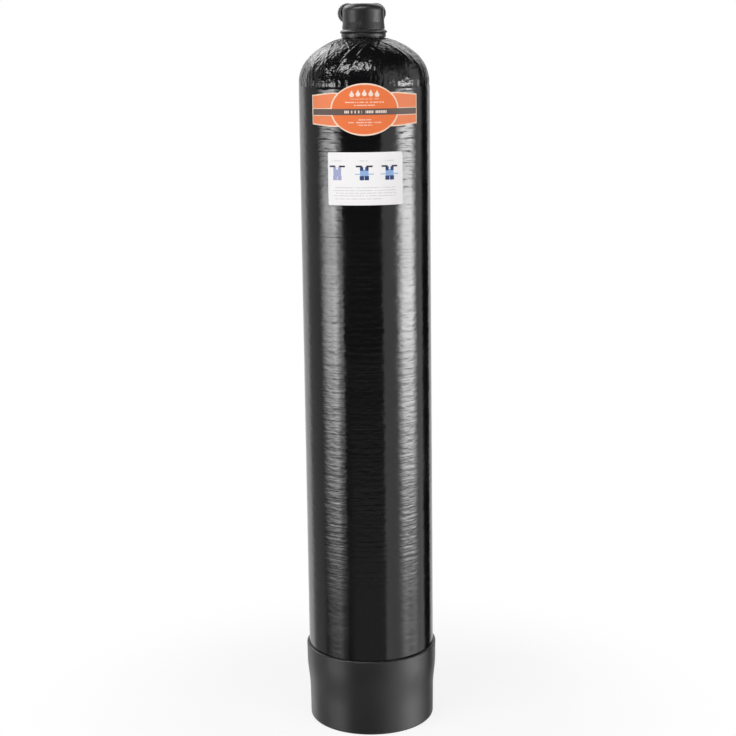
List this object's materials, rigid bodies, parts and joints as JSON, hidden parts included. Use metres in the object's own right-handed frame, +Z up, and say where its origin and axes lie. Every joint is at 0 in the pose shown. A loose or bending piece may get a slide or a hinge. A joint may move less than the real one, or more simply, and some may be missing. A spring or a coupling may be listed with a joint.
{
  "type": "salt-free water conditioner",
  "caption": "Tall wound pressure tank on a moulded boot, with a screwed in/out head, riser, slotted baskets, media bed and rear pipe unions for treating household water.",
  "frame": {"origin": "centre of the boot's underside, on the floor", "axes": "+Z up along the tank's axis, -Y towards the labels, +X to the right seen from the front"},
  "size_m": [0.2668, 0.2668, 1.4539],
  "materials": {
    "boot_plastic": "satin black",
    "wound_resin": "glossy black resin over wound glass",
    "liner_plastic": "natural",
    "neck_plastic": "satin black",
    "head_plastic": "satin black",
    "union_plastic": "satin black",
    "seal_rubber": "plain",
    "pipe_plastic": "plain",
    "basket_plastic": "plain",
    "media_grains": "grains",
    "orange_film": "printed film",
    "white_film": "printed film"
  },
  "bodies": {
    "tank": {"boot": "boot_plastic", "tank_wrap": "wound_resin", "tank_liner": "liner_plastic", "neck_insert": "neck_plastic", "riser_tube": "pipe_plastic", "distributor_hub": "basket_plastic", "distributor_basket": "basket_plastic", "media_bed": "media_grains", "front_label": "orange_film", "instruction_label": "white_film"},
    "head_seal": {"head_o_ring": "seal_rubber"},
    "head": {"head_body": "head_plastic", "riser_o_ring": "seal_rubber", "upper_basket": "basket_plastic"},
    "inlet_pipe": {"inlet_gasket": "seal_rubber", "inlet_tailpiece": "union_plastic"},
    "inlet_nut": {"inlet_union_nut": "union_plastic"},
    "outlet_pipe": {"outlet_gasket": "seal_rubber", "outlet_tailpiece": "union_plastic"},
    "outlet_nut": {"outlet_union_nut": "union_plastic"}
  },
  "joints": [
    {"name": "head_lift", "type": "slide", "parent": "tank", "child": "head_seal", "axis": [0, 0, 1], "range_m": [0, 0.027]},
    {"name": "head_turn", "type": "hinge", "parent": "head_seal", "child": "head", "pos_m": [0, 0, 1.39326], "axis": [0, 0, 1], "range_deg": [0, 3060]},
    {"name": "inlet_draw", "type": "slide", "parent": "head", "child": "inlet_pipe", "axis": [-0.0628, 0.998, 0], "range_m": [0, 0.0104]},
    {"name": "inlet_nut_turn", "type": "hinge", "parent": "inlet_pipe", "child": "inlet_nut", "pos_m": [0.02461, 0.05165, 1.43386], "axis": [-0.0628, 0.998, 0], "range_deg": [0, 1620]},
    {"name": "outlet_draw", "type": "slide", "parent": "head", "child": "outlet_pipe", "axis": [-0.0628, 0.998, 0], "range_m": [0, 0.0104]},
    {"name": "outlet_nut_turn", "type": "hinge", "parent": "outlet_pipe", "child": "outlet_nut", "pos_m": [-0.03088, 0.04816, 1.43386], "axis": [-0.0628, 0.998, 0], "range_deg": [0, 1620]}
  ],
  "couplings": [
    {"joint": "head_lift", "follows": "head_turn", "m_per_rad": 0.00050532},
    {"joint": "inlet_draw", "follows": "inlet_nut_turn", "m_per_rad": 0.00036749},
    {"joint": "outlet_draw", "follows": "outlet_nut_turn", "m_per_rad": 0.00036749}
  ]
}
